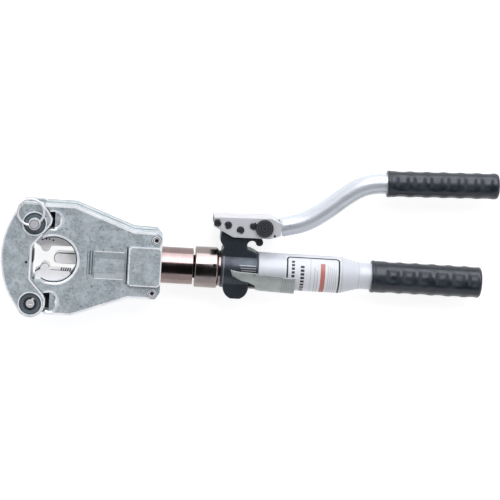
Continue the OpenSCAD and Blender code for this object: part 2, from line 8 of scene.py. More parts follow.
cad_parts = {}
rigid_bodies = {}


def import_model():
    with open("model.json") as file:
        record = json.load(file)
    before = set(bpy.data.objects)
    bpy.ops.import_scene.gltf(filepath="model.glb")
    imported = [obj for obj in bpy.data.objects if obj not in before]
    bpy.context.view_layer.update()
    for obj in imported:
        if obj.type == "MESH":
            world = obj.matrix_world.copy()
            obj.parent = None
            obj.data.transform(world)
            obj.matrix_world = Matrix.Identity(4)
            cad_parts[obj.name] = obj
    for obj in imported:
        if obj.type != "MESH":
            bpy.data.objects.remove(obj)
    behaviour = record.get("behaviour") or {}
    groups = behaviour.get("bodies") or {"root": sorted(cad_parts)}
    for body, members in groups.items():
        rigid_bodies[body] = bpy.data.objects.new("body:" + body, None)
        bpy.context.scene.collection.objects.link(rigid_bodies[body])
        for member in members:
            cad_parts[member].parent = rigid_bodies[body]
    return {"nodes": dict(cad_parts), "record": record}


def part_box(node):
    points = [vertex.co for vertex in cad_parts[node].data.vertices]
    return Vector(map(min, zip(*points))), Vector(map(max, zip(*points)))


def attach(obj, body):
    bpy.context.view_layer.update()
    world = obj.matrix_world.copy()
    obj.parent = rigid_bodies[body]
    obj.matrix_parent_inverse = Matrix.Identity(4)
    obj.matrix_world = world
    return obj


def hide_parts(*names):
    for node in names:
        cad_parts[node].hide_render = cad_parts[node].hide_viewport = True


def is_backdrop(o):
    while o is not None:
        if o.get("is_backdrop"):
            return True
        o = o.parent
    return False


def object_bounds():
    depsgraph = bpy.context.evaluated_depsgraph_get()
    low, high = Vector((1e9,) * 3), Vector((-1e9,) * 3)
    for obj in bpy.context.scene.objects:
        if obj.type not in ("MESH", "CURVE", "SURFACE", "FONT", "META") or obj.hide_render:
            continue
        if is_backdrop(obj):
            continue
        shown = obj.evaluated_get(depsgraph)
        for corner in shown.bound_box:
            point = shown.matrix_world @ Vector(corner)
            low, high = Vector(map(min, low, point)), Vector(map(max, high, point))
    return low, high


for o in list(bpy.data.objects):
    bpy.data.objects.remove(o)

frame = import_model()
nodes = frame["nodes"]
cad_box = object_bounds()
body_of = {n: b for b, ns in frame["record"]["behaviour"]["bodies"].items() for n in ns}
scene = bpy.context.scene
MM = 0.001


# ------------------------------------------------------------------ materials
class Mat:
    """A Principled material built from noise layers in object coordinates (metres)."""

    def __init__(self, name, metallic, roughness, specular=0.5, coat=0.0, coat_rough=0.1, ior=1.45):
        self.m = bpy.data.materials.new(name)
        self.m.use_nodes = True
        self.t = self.m.node_tree
        self.b = self.t.nodes["Principled BSDF"]
        self.b.inputs["Metallic"].default_value = metallic
        self.b.inputs["Roughness"].default_value = roughness
        self.b.inputs["Specular IOR Level"].default_value = specular
        self.b.inputs["Coat Weight"].default_value = coat
        self.b.inputs["Coat Roughness"].default_value = coat_rough
        self.b.inputs["IOR"].default_value = ior
        self.co = self.t.nodes.new("ShaderNodeTexCoord").outputs["Object"]
        self.height = None

    def node(self, kind, **inputs):
        n = self.t.nodes.new(kind)
        for k, v in inputs.items():
            n.inputs[k.replace("_", " ")].default_value = v
        return n

    def mapped(self, scale):
        n = self.t.nodes.new("ShaderNodeMapping")
        n.inputs["Scale"].default_value = scale
        self.t.links.new(self.co, n.inputs["Vector"])
        return n.outputs["Vector"]

    def noise(self, scale, detail=4.0, rough=0.55, stretch=(1, 1, 1), distort=0.0):
        n = self.node("ShaderNodeTexNoise", Scale=scale, Detail=detail, Roughness=rough, Distortion=distort)
        self.t.links.new(self.mapped(stretch), n.inputs["Vector"])
        return n.outputs["Fac"]

    def voronoi(self, scale, stretch=(1, 1, 1)):
        n = self.node("ShaderNodeTexVoronoi", Scale=scale)
        self.t.links.new(self.mapped(stretch), n.inputs["Vector"])
        return n.outputs["Distance"]

    def ramp(self, fac, lo, hi, a=(0, 0, 0, 1), b=(1, 1, 1, 1)):
        n = self.t.nodes.new("ShaderNodeValToRGB")
        n.color_ramp.elements[0].position = lo
        n.color_ramp.elements[1].position = hi
        n.color_ramp.elements[0].color = a
        n.color_ramp.elements[1].color = b
        self.t.links.new(fac, n.inputs["Fac"])
        return n.outputs["Color"]

    def span(self, fac, lo, hi):
        n = self.t.nodes.new("ShaderNodeMapRange")
        n.inputs["From Min"].default_value = 0.3
        n.inputs["From Max"].default_value = 0.7
        n.inputs["To Min"].default_value = lo
        n.inputs["To Max"].default_value = hi
        self.t.links.new(fac, n.inputs["Value"])
        return n.outputs["Result"]

    def mix(self, fac, a, b, kind="MIX"):
        n = self.t.nodes.new("ShaderNodeMix")
        n.data_type = "RGBA"
        n.blend_type = kind
        for sock, v in ((n.inputs[0], fac), (n.inputs[6], a), (n.inputs[7], b)):
            if isinstance(v, (int, float, tuple)):
                sock.default_value = v
            else:
                self.t.links.new(v, sock)
        return n.outputs[2]

    def colour(self, sock):
        self.t.links.new(sock, self.b.inputs["Base Color"])

    def rough(self, sock):
        self.t.links.new(sock, self.b.inputs["Roughness"])

    def bump(self, sock, strength, dist):
        n = self.node("ShaderNodeBump", Strength=strength, Distance=dist)
        self.t.links.new(sock, n.inputs["Height"])
        if self.height is not None:
            self.t.links.new(self.height, n.inputs["Normal"])
        self.height = n.outputs["Normal"]
        self.t.links.new(self.height, self.b.inputs["Normal"])


def c4(r, g, b):
    return (r, g, b, 1.0)


def cast(name, dark, light, rough=(0.34, 0.5), metallic=0.72):
    m = Mat(name, metallic, 0.42)
    fine = m.noise(430, 6, 0.75)
    blotch = m.noise(70, 5, 0.6)
    grains = m.voronoi(1500)
    base = m.mix(m.ramp(fine, 0.34, 0.66), c4(*dark), c4(*light))
    base = m.mix(m.ramp(blotch, 0.42, 0.62), base, m.mix(0.7, base, c4(*[x * 1.12 for x in light])))
    base = m.mix(m.ramp(m.noise(260, 6, 0.7), 0.56, 0.70), base, c4(*[x * 0.72 for x in dark]))
    m.colour(base)
    m.rough(m.span(fine, *rough))
    m.bump(fine, 0.35, 0.00035)
    m.bump(grains, 0.18, 0.0002)
    m.bump(blotch, 0.12, 0.0008)
    return m.m


def machined(name, base, rough, along="x", streak=0.12, metallic=1.0, tint=0.10, coat=0.0):
    """Turned or drawn metal: fine lines, faint stains and small scratches."""
    m = Mat(name, metallic, rough, coat=coat)
    st = {"x": (6, 260, 260), "turn": (900, 14, 14), "z": (260, 260, 6), "flat": (40, 400, 400)}[along]
    lines = m.noise(4.0, 3, 0.6, st)
    stain = m.noise(45, 5, 0.6)
    scr = m.noise(10, 2, 0.5, (st[0] * 0.5, st[1] * 0.5, st[2] * 0.5), 1.2)
    col = m.mix(m.ramp(lines, 0.3, 0.7), c4(*[x * (1 - tint) for x in base]), c4(*[min(1.0, x * (1 + tint)) for x in base]))
    col = m.mix(m.ramp(stain, 0.45, 0.8), col, c4(*[x * (1 - 2 * tint) for x in base]))
    m.colour(col)
    m.rough(m.span(stain, max(0.04, rough - 0.07), rough + 0.10))
    m.bump(lines, streak, 0.0001)
    m.bump(m.ramp(scr, 0.66, 0.70), streak * 0.6, 0.00005)
    return m.m


def rubber(name, dark, light, rough=0.52):
    m = Mat(name, 0.0, rough, specular=0.55)
    leather = m.voronoi(1500)
    fine = m.noise(2600, 4, 0.6)
    dust = m.noise(70, 6, 0.65)
    col = m.mix(m.ramp(dust, 0.35, 0.75), c4(*dark), c4(*light))
    col = m.mix(m.ramp(fine, 0.55, 0.75), col, c4(*[x * 1.5 for x in light]))
    m.colour(col)
    m.rough(m.span(dust, rough - 0.10, rough + 0.10))
    m.bump(leather, 0.20, 0.00018)
    m.bump(fine, 0.14, 0.00010)
    return m.m


def paint(name, base, rough, metallic=0.0, grain=0.2, tint=0.06, coat=0.0):
    m = Mat(name, metallic, rough, coat=coat)
    peel = m.noise(700, 4, 0.6)
    dirt = m.noise(55, 6, 0.6)
    speck = m.noise(1900, 3, 0.5)
    col = m.mix(m.ramp(dirt, 0.35, 0.75), c4(*base), c4(*[x * (1 - 2 * tint) for x in base]))
    col = m.mix(m.ramp(speck, 0.58, 0.72), col, c4(*[min(1.0, x * (1 + 3 * tint)) for x in base]))
    m.colour(col)
    m.rough(m.span(dirt, rough - 0.08, rough + 0.10))
    m.bump(peel, grain, 0.00015)
    m.bump(speck, grain * 0.6, 0.00008)
    return m.m


M = {
    "cast": cast("cast_aluminium", (0.27, 0.32, 0.34), (0.57, 0.63, 0.65), (0.44, 0.60), 0.55),
    "yoke_cast": cast("cast_aluminium_yoke", (0.29, 0.34, 0.36), (0.59, 0.65, 0.67), (0.44, 0.60), 0.55),
    # edge: ground bright metal, and painted highlight where rounded edges would catch the light
    "edge": cast("ground_edge_and_painted_highlight", (0.84, 0.87, 0.89), (0.98, 0.99, 0.99), (0.30, 0.42), 0.25),
    # recess: dark grey painted shade on recess floors, rib gaps and the rear cover's outline
    "recess": paint("recess_painted_shade", (0.15, 0.19, 0.215), 0.40, 0.2, 0.2, 0.16),
    "steel": machined("ground_steel", (0.62, 0.63, 0.64), 0.34, "flat"),
    "polished": paint("polished_steel", (0.86, 0.86, 0.87), 0.30, 0.55, 0.06, 0.03),
    "die": paint("die_steel_faint_glow", (0.95, 0.93, 0.92), 0.36, 0.10, 0.10, 0.03),
    "pin_steel": machined("oiled_steel", (0.085, 0.09, 0.10), 0.42, "z", tint=0.2),
    "dark_steel": paint("black_oxide", (0.040, 0.042, 0.048), 0.42, 0.5, 0.25, 0.14),
    "bronze_anodised": machined("bronze_anodised", (0.25, 0.19, 0.18), 0.13, "turn", 0.05, tint=0.12),
    "collar_anodised": machined("collar_anodised", (0.27, 0.235, 0.22), 0.15, "turn", 0.05, tint=0.12),
    "black_anodised": paint("black_anodised", (0.048, 0.058, 0.070), 0.34, 0.5, 0.55, 0.26),
    "lever_paint": paint("lever_paint", (0.57, 0.58, 0.59), 0.44, 0.15, 0.30, 0.05),
    "tube_alu": machined("drawn_tube", (0.62, 0.655, 0.69), 0.34, "x", 0.08, 0.5, tint=0.05),
    "reservoir_alu": paint("reservoir_finish", (0.60, 0.62, 0.65), 0.46, 0.12, 0.10, 0.03),
    "seal": rubber("seal_rubber", (0.012, 0.012, 0.013), (0.03, 0.03, 0.03), 0.45),
    "grip": rubber("grip_rubber", (0.008, 0.011, 0.016), (0.026, 0.034, 0.044), 0.33),
    "label": paint("label_film", (0.68, 0.69, 0.71), 0.44, 0.0, 0.08, 0.02),
    "release": paint("release_lever_paint", (0.38, 0.42, 0.40), 0.38, 0.25, 0.6, 0.18),
    "label_ink": paint("label_ink", (0.022, 0.030, 0.030), 0.45, 0.0, 0.08, 0.05),
    "label_grey": paint("label_grey", (0.42, 0.44, 0.46), 0.42, 0.0, 0.08, 0.05),
    "label_bar": paint("label_bar", (0.46, 0.16, 0.13), 0.40, 0.0, 0.10, 0.12),
    # flank and flank_low: the cast surface in painted shade on flanks facing up and painted light on flanks facing down
    "flank": paint("cast_upper_flank_painted_shade", (0.27, 0.305, 0.32), 0.85, 0.0, 0.5, 0.16),
    "flank_low": paint("cast_lower_flank_painted_light", (0.52, 0.57, 0.59), 0.85, 0.0, 0.5, 0.12),
    # halo: painted highlight round the scallops
    "halo": paint("cast_halo_painted_highlight", (0.58, 0.63, 0.65), 0.6, 0.1, 0.5, 0.14),
    "rib_light": paint("rib_light", (0.26, 0.27, 0.28), 0.42, 0.4, 0.2, 0.10),
    "bolt_line": paint("bolt_line", (0.16, 0.165, 0.175), 0.45, 0.3, 0.2, 0.10),
    # shadow_gap: near-black, mostly painted shadow in gaps, slots, grooves and sockets; also the parting line and the
    # die springs
    "shadow_gap": paint("painted_shadow_black", (0.020, 0.022, 0.025), 0.55, 0.0, 0.2, 0.10),
}
# painted light: the die steel glows faintly (emission 0.05) so the dies stay bright in the shaded cavity
die = M["die"].node_tree.nodes["Principled BSDF"]
die.inputs["Emission Color"].default_value = (1.0, 0.96, 0.95, 1)
die.inputs["Emission Strength"].default_value = 0.05
slot_of = {s["node"]: s["material_slot"] for s in frame["record"]["subparts"]}
for n, o in nodes.items():
    o.data.materials.clear()
    o.data.materials.append(M[slot_of[n]])


# ------------------------------------------------------------------ mesh helpers
def put(name, mesh, mat, body, node=None, smooth=35, flat=False):
    ob = bpy.data.objects.new(name, mesh)
    scene.collection.objects.link(ob)
    for m in ([mat] if isinstance(mat, str) else mat):
        mesh.materials.append(M[m])
    mesh.polygons.foreach_set("use_smooth", [True] * len(mesh.polygons))
    if smooth:
        mesh.set_sharp_from_angle(angle=math.radians(smooth))
    mesh.update()
    if flat:
        wn = ob.modifiers.new("face_normals", "WEIGHTED_NORMAL")
        wn.mode = "FACE_AREA"
        wn.weight = 80
        wn.keep_sharp = True
    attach(ob, body)
    if node:
        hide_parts(*([node] if isinstance(node, str) else node))
    return ob


def refine(node, width, seg=2, angle=38, mat=None, smooth=40, edge=None, passes=None):
    """A copy of a CAD node with rounded edges: coplanar triangles are merged and each sharp edge gets a small radius,
    in the edge material (ground bright, and painted highlight) when edge is given.
    """
    bm = bmesh.new()
    bm.from_mesh(nodes[node].data)
    bmesh.ops.remove_doubles(bm, verts=bm.verts, dist=2e-6)
    bmesh.ops.dissolve_limit(bm, angle_limit=math.radians(0.5), verts=bm.verts, edges=bm.edges, delimit=set())
    for f in bm.faces:
        f.material_index = 0
    done = set()
    for w, n, want in (passes or []) + [(width, seg, None)]:
        edges = [e for e in bm.edges if len(e.link_faces) == 2 and e.calc_face_angle(0) > math.radians(angle) and e.is_convex
                 and not any(f.material_index == 1 for f in e.link_faces)]
        if want:
            edges = [e for e in edges if want(e)]
        elif passes:
            edges = [e for e in edges if not any(q(e) for _, _, q in passes)]
        if w <= 0 or not edges:
            continue
        res = bmesh.ops.bevel(bm, geom=edges, offset=w, offset_type="OFFSET", segments=n, profile=0.5, affect="EDGES",
                              clamp_overlap=False, loop_slide=True, miter_outer="SHARP", miter_inner="SHARP")
        if edge:
            for f in res["faces"]:
                f.material_index = 1
    bmesh.ops.triangulate(bm, faces=[f for f in bm.faces if len(f.verts) > 4], ngon_method="BEAUTY")
    me = bpy.data.meshes.new(node + "_fine")
    bm.to_mesh(me)
    bm.free()
    mats = [mat or slot_of[node]] + ([edge] if edge else [])
    return put(node + "_fine", me, mats, body_of[node], node, smooth, True)


def mid(e):
    return (e.verts[0].co + e.verts[1].co) / 2 * 1000


def near(e, x, y, r):
    m = mid(e)
    return math.hypot(m.x - x, m.y - y) < r


def rim(e, heights=(0.026, 0.0292)):
    """The side normal of an edge between a face 26 or 29.2 mm from the middle and an upright side."""
    a, b = e.link_faces
    if not any(all(abs(abs(v.co.z) - h) < 2e-5 for v in e.verts) for h in heights):
        return None
    if abs(a.normal.z) < 0.5:
        a, b = b, a
    return b.normal if abs(a.normal.z) > 0.95 and abs(b.normal.z) < 0.1 else None


def pad_rim(e):
    return rim(e) is not None and abs(mid(e).z) > 29


def cover_rim(e):
    n, m = rim(e, (0.026,)), mid(e)
    if n is None or (m.x - 45) * n.x + (m.y - 2) * n.y < 0 or near(e, 12.8, 2.7, 28.2) or near(e, 125, 30, 7) or near(e, 123, -29.3, 7):
        return False
    return not (-3 < m.x < 13.5 and 34 < abs(m.y) < 57) and not (89 < m.x < 131.9 and abs(m.y) < 23.5) and m.x > 14


def yoke_rim(e):
    return rim(e) is not None and not near(e, -10, 41.5, 14) and not near(e, -10.8, -48.1, 14) and not near(e, -17.3, -1.9, 4)


def lathe(name, prof, mat, body, node=None, seg=96, origin=(0, 0, 0), turn=0.0, fn=None, smooth=32, closed=False, axis="X"):
    """Revolves [(x, r), ...] about X, with an optional fn(x, phi, r) -> r; turn leans the axis about Z in degrees. With axis Z it stands upright."""
    bm = bmesh.new()
    rings = []
    for x, r in prof:
        if r < 1e-6:
            rings.append([bm.verts.new((x, 0, 0))])
            continue
        ring = []
        for k in range(seg):
            a = 2 * math.pi * k / seg
            rr = fn(x, a, r) if fn else r
            ring.append(bm.verts.new((x, rr * math.sin(a), rr * math.cos(a))))
        rings.append(ring)
    pairs = list(zip(rings, rings[1:])) + ([(rings[-1], rings[0])] if closed else [])
    for a, b in pairs:
        for k in range(seg):
            l = (k + 1) % seg
            vs = []
            for v in (a[k % len(a)], a[l % len(a)], b[l % len(b)], b[k % len(b)]):
                if v not in vs:
                    vs.append(v)
            if len(vs) > 2:
                bm.faces.new(vs)
    bmesh.ops.recalc_face_normals(bm, faces=bm.faces)
    up = Matrix.Rotation(math.radians(-90), 4, "Y") if axis == "Z" else Matrix.Rotation(math.radians(turn), 4, "Z")
    bm.transform(Matrix.Translation(Vector(origin)) @ up)
    me = bpy.data.meshes.new(name)
    bm.to_mesh(me)
    bm.free()
    return put(name, me, mat, body, node, smooth)


def disc(name, x, y, z, r0, r1, h, mat, body, seg=56):
    """A thin washer or disc lying on a face, in mm: z is its underside."""
    prof = [(0, r0), (h, r0), (h, r1), (0, r1)] if r0 > 0 else [(0, 0), (h, 0), (h, r1), (0, r1)]
    return lathe(name, [(a * MM, b * MM) for a, b in prof], mat, body, None, seg, (x * MM, y * MM, z * MM), closed=True, axis="Z")


def block(name, corners, z0, z1, mat, body):
    """An upright prism over [(x, y), ...] in mm."""
    bm = bmesh.new()
    lo_ring = [bm.verts.new((x * MM, y * MM, z0 * MM)) for x, y in corners]
    hi_ring = [bm.verts.new((x * MM, y * MM, z1 * MM)) for x, y in corners]
    bm.faces.new(hi_ring)
    bm.faces.new(lo_ring[::-1])
    for i in range(len(corners)):
        j = (i + 1) % len(corners)
        bm.faces.new((lo_ring[i], lo_ring[j], hi_ring[j], hi_ring[i]))
    bmesh.ops.recalc_face_normals(bm, faces=bm.faces)
    me = bpy.data.meshes.new(name)
    bm.to_mesh(me)
    bm.free()
    return put(name, me, mat, body, None, 30)


def rounded(points, rad, n=5):
    """Rounds the corners of an open profile [(x, r)] with small fillets."""
    out = [points[0]]
    for i in range(1, len(points) - 1):
        p, a, b = Vector(points[i]), Vector(points[i - 1]), Vector(points[i + 1])
        u, v = (a - p), (b - p)
        r = rad[i] if isinstance(rad, dict) and i in rad else (rad if not isinstance(rad, dict) else 0)
        if r <= 0:
            out.append(tuple(p))
            continue
        d = min(r, u.length * 0.48, v.length * 0.48)
        p0, p1 = p + u.normalized() * d, p + v.normalized() * d
        for k in range(n + 1):
            t = k / n
            out.append(tuple((1 - t) ** 2 * p0 + 2 * (1 - t) * t * p + t ** 2 * p1))
    out.append(points[-1])
    return out


# ------------------------------------------------------------------ head
# Material index by slope: steep faces get the bright edge material (ground metal and painted highlight), shallow flanks
# facing up get painted shade and those facing down painted light.
def sloping(f):
    if 0.9 <= abs(f.normal.z) < 0.97:
        return 2 if f.normal.y > 0 else 3
    return 1 if 0.25 < abs(f.normal.z) < 0.9 else 0


def lip(f):
    return abs(abs(f.calc_center_median().z) - 0.027) < 1e-4 and abs(f.normal.z) > 0.9


def casting(node, bright, strips):
    """The CAD casting with its sloping faces in the bright edge material (ground metal and painted highlight), its
    flanks in painted shade where they face up and painted light where they face down, and bands laid on both sides of
    its long edges: painted highlight, except a painted dark shade line on the rear cover's outer rim.
    """
    bm = bmesh.new()
    bm.from_mesh(nodes[node].data)
    bmesh.ops.remove_doubles(bm, verts=bm.verts, dist=2e-6)
    for f in bm.faces:
        f.material_index = bright(f)
    lines = []
    for k, (want, w_top, w_side) in enumerate(strips):
        link, side = {}, {}
        for e in bm.edges:
            if len(e.link_faces) == 2 and e.is_convex and e.calc_face_angle(0) > 1.2 and want(e):
                n = rim(e)
                for v, u in (e.verts, reversed(e.verts)):
                    link.setdefault(v.index, {})[u.index] = n.copy()
                    side[v.index] = v.co.copy()
        lines.append((k, w_top, w_side, link, side))
    me = bpy.data.meshes.new(node + "_fine")
    bm.to_mesh(me)
    bm.free()
    ob = put(node + "_fine", me, [slot_of[node], "edge", "flank", "flank_low"], body_of[node], node, 13)
    for f in me.polygons:
        f.use_smooth = abs(f.normal.z) < 0.6 and abs(f.normal.z) > 0.002 or (abs(f.normal.z) <= 0.002 and f.area < 1.6e-4)
    for k, w_top, w_side, link, co_of in lines:
        sm = bmesh.new()
        cross, seam = {}, {}
        for v, nb in link.items():
            ns = list(nb.values())
            d = ns[0] + ns[-1]
            d = d.normalized() / max(0.45, d.normalized().dot(ns[0])) if d.length > 0.1 else ns[0]
            c, up = co_of[v], (1 if co_of[v].z > 0 else -1)
            t = 0.03 * MM * up
            cross[v] = [sm.verts.new(c - d * w_top + Vector((0, 0, t))), sm.verts.new(c + d * 0.02 * MM + Vector((0, 0, t))),
                        sm.verts.new(c + d * 0.02 * MM - Vector((0, 0, w_side * up)))]
            if k == 0 and node == "front_cover":
                seam[v] = [(c.x + d.x * 0.03 * MM, c.y + d.y * 0.03 * MM, z * MM) for z in (-2.2, 2.2)]
        for v, nb in link.items():
            for u in nb:
                if v < u:
                    for j in (0, 1):
                        sm.faces.new((cross[v][j], cross[v][j + 1], cross[u][j + 1], cross[u][j]))
        if seam:
            pm = bmesh.new()
            for v, nb in link.items():
                for u in nb:
                    if v < u:
                        pm.faces.new([pm.verts.new(q) for q in (seam[v][0], seam[v][1], seam[u][1], seam[u][0])])
            bmesh.ops.remove_doubles(pm, verts=pm.verts, dist=1e-6)
            pme = bpy.data.meshes.new("cover_parting_line")
            pm.to_mesh(pme)
            pm.free()
            put("cover_parting_line", pme, "shadow_gap", body_of[node], None, 30)
        sme = bpy.data.meshes.new("%s_band_%d" % (node, k))
        sm.to_mesh(sme)
        sm.free()
        if len(sme.polygons):
            # painted highlight bands, and on the rear cover a painted dark shade line along its outer rim
            put("%s_band_%d" % (node, k), sme, "recess" if node == "rear_cover" and k == 0 else "edge", body_of[node], None, 30)
    return ob


for n in ("front_cover", "rear_cover"):
    casting(n, sloping, [(cover_rim, 2.3 * MM, (1.2 if n == "front_cover" else 4.0) * MM), (pad_rim, 1.3 * MM, 1.0 * MM)])
# on the yoke the lips round the pins also get the bright edge material, painted highlight
casting("yoke", lambda f: sloping(f) or int(lip(f)), [(yoke_rim, 1.9 * MM, 1.2 * MM)])
refine("cover_screws", 0.35 * MM, 2, mat="polished", edge="edge")
refine("latch_pin", 0.4 * MM, 2, mat="polished", edge="edge")
refine("hinge_pin", 0.35 * MM, 2, mat="polished")
refine("hinge_pin_clips", 0.2 * MM, 1)
refine("yoke_indentor", 0.5 * MM, 2, mat="dark_steel")
for n in ("ram_indentor", "upper_indentor", "lower_indentor"):
    refine(n, 0.8 * MM, 3, mat="die")
refine("indentor_set_screw", 0.15 * MM, 1)
refine("ram_cylinder", 0.5 * MM, 2)
refine("swivel_collar", 0.35 * MM, 2)
refine("collar_set_screw", 0.1 * MM, 1)
refine("lock_ring", 0.4 * MM, 2)
refine("pump_block", 0.9 * MM, 2)
refine("stop_bumper", 0.8 * MM, 2)
refine("relief_valve", 0.5 * MM, 2)
refine("release_lever", 0.25 * MM, 1)
refine("release_bracket", 0.2 * MM, 1)
refine("lever_fork", 0.9 * MM, 3)
refine("handle_bolt", 0.6 * MM, 2)
refine("pin_clips", 0.15 * MM, 1)
refine("fulcrum_clips", 0.15 * MM, 1)
for n in ("fulcrum_pin", "drive_pin", "lever_spacer_pins"):
    refine(n, 0.5 * MM, 2)

# painted shadow: dark sheets in the ear slots, turned recess floors in painted shade with a shadow line round their
# rim, steel rings in the recesses, and dark rings and dots in and round the screws and pins
block("ear_slot_shadow_plate_upper", [(2.4, 36.8), (11.9, 36.8), (11.9, 55.2), (2.4, 55.2)], 9.85, 10.2, "shadow_gap", "head")
block("ear_slot_shadow_plate_lower", [(-1.6, -54.1), (9.7, -54.1), (9.7, -35.4), (-1.6, -35.4)], 9.85, 10.2, "shadow_gap", "head")
for tag, x, y, r in (("latch", -10.0, 41.5, 6.9), ("hinge", -10.8, -48.1, 7.4)):
    disc(tag + "_recess_floor_painted_shade", x, y, 23.38, r, 12.25, 0.10, "recess", "yoke_arm")
    disc(tag + "_recess_shadow_line", x, y, 23.45, 11.6, 12.25, 0.10, "shadow_gap", "yoke_arm")
    disc(tag + "_recess_ring", x, y, 23.45, 8.9, 9.5, 0.12, "steel", "yoke_arm")
disc("latch_pin_groove_shadow", -10.0, 41.5, 32.59, 4.75, 5.35, 0.03, "shadow_gap", "latch")
disc("latch_pin_face", -10.0, 41.5, 32.59, 0, 4.75, 0.05, "polished", "latch")
for i, (x, y) in enumerate(((125, 30), (123, -29.3))):
    disc("screw_gap_%d" % i, x, y, 26.0, 5.2, 5.75, 0.03, "shadow_gap", "head")
    disc("screw_line_%d" % i, x, y, 26.59, 3.45, 3.85, 0.03, "shadow_gap", "head")
    disc("screw_hex_%d" % i, x, y, 23.38, 0, 2.2, 0.25, "shadow_gap", "head")


def arc_strip(name, x, y, r0, r1, a0, a1, z0, z1, mat, body):
    n = max(2, int(abs(a1 - a0) / 4))
    rim_pts = [(x + r1 * math.cos(math.radians(a0 + (a1 - a0) * i / n)), y + r1 * math.sin(math.radians(a0 + (a1 - a0) * i / n))) for i in range(n + 1)]
    inner = [(x + r0 * math.cos(math.radians(a0 + (a1 - a0) * i / n)), y + r0 * math.sin(math.radians(a0 + (a1 - a0) * i / n))) for i in range(n + 1)]
    bm = bmesh.new()
    q = [[bm.verts.new((px_ * MM, py_ * MM, z * MM)) for px_, py_ in ring] for z in (z0, z1) for ring in (inner, rim_pts)]
    for i in range(n):
        for a, b in ((q[0], q[1]), (q[2], q[3]), (q[0], q[2]), (q[1], q[3])):
            bm.faces.new((a[i], a[i + 1], b[i + 1], b[i]))
    for i in (0, n):
        bm.faces.new((q[0][i], q[1][i], q[3][i], q[2][i]))
    bmesh.ops.recalc_face_normals(bm, faces=bm.faces)
    me = bpy.data.meshes.new(name)
    bm.to_mesh(me)
    bm.free()
    return put(name, me, mat, body, None, 30)


# round the window: a painted shadow line inside it, and a ground-bright rim and bevel in painted highlight
arc_strip("window_shadow_line", 12.8, 2.7, 24.6, 25.72, -122, 122, 23.2, 24.3, "shadow_gap", "head")
arc_strip("window_rim_ground_highlight", 12.8, 2.7, 27.2, 28.5, -118, 118, 25.9, 26.03, "edge", "head")
arc_strip("window_bevel_ground_highlight", 12.8, 2.7, 25.75, 26.3, -120, 120, 24.4, 24.75, "edge", "head")
# painted shade in the gaps between the rib's bars and in the groove beside the pad
for i, x in enumerate((51.75, 54.72)):
    block("rib_gap_%d" % i, [(x, -11.2), (x + 1.3, -11.2), (x + 1.3, 15.0), (x, 15.0)], 25.95, 26.12, "recess", "head")
block("rib_gap_2", [(49.4, -11.2), (50.1, -11.2), (50.1, 15.0), (49.4, 15.0)], 25.95, 26.03, "recess", "head")
block("pad_groove_shade_line", [(93.0, -20.6), (94.25, -20.6), (94.25, 21.4), (93.0, 21.4)], 24.8, 25.1, "shadow_gap", "head")
# painted highlight crescents round the scallops and along the rib's edges
for tag, x, y in (("upper", 11.2, 46.55), ("lower", 10.0, -44.9)):
    arc_strip("scallop_highlight_" + tag, x, y, 8.9, 11.6, -68, 68, 25.9, 26.03, "halo", "head")
block("rib_edge_highlight_upper", [(57.9, 14.3), (89.8, 14.3), (89.8, 15.2), (57.9, 15.2)], 25.95, 26.05, "edge", "head")
block("rib_edge_highlight_lower", [(57.9, -15.9), (89.8, -15.9), (89.8, -15.0), (57.9, -15.0)], 25.95, 26.05, "edge", "head")
# painted shade along the sides and noses of the indentors, painted shadow dots on the upper die, and the springs
# between them
arc_strip("ram_tip_line", 18.3, 2.4, 5.5, 6.25, 75, 235, 9.45, 9.56, "bolt_line", "ram")
block("ram_side_shade_band", [(18.0, 7.5), (44.0, 7.5), (44.0, 8.65), (18.0, 8.65)], 9.45, 9.56, "shadow_gap", "ram")
arc_strip("lower_nose_line", 2.8, -8.9, 4.4, 4.95, 5, 175, 9.45, 9.56, "bolt_line", "lower_die")
block("lower_flank_line", [(8.7, -11.3), (30.8, -12.0), (30.8, -11.3), (8.7, -10.6)], 9.45, 9.56, "bolt_line", "lower_die")
block("lower_cam_line", [(-2.3, -9.0), (-7.9, -12.9), (-7.9, -14.6), (-2.3, -11.0)], 9.45, 9.56, "shadow_gap", "lower_die")
for i in range(5):
    block("die_spring_%d" % i, [(20.0 + 2.5 * i, -11.1), (21.2 + 2.5 * i, -11.1), (22.2 + 2.5 * i, -8.3), (21.0 + 2.5 * i, -8.3)], 7.2, 9.4,
          "shadow_gap", "lower_die")
for i, (dx, dy) in enumerate(((-1.4, 22.0), (3.0, 22.9), (6.4, 22.9), (10.8, 21.8))):
    disc("upper_die_mark_%d" % i, dx, dy, 9.45, 0, 1.0, 0.11, "shadow_gap", "upper_die", 16)
# washer lines on the handle bolt
for i, (r0, r1) in enumerate(((7.9, 8.3), (5.4, 5.7), (2.6, 2.9))):
    disc("bolt_line_%d" % i, 243.6, 50.2, 22.88, r0, r1, 0.05, "bolt_line", "lever")


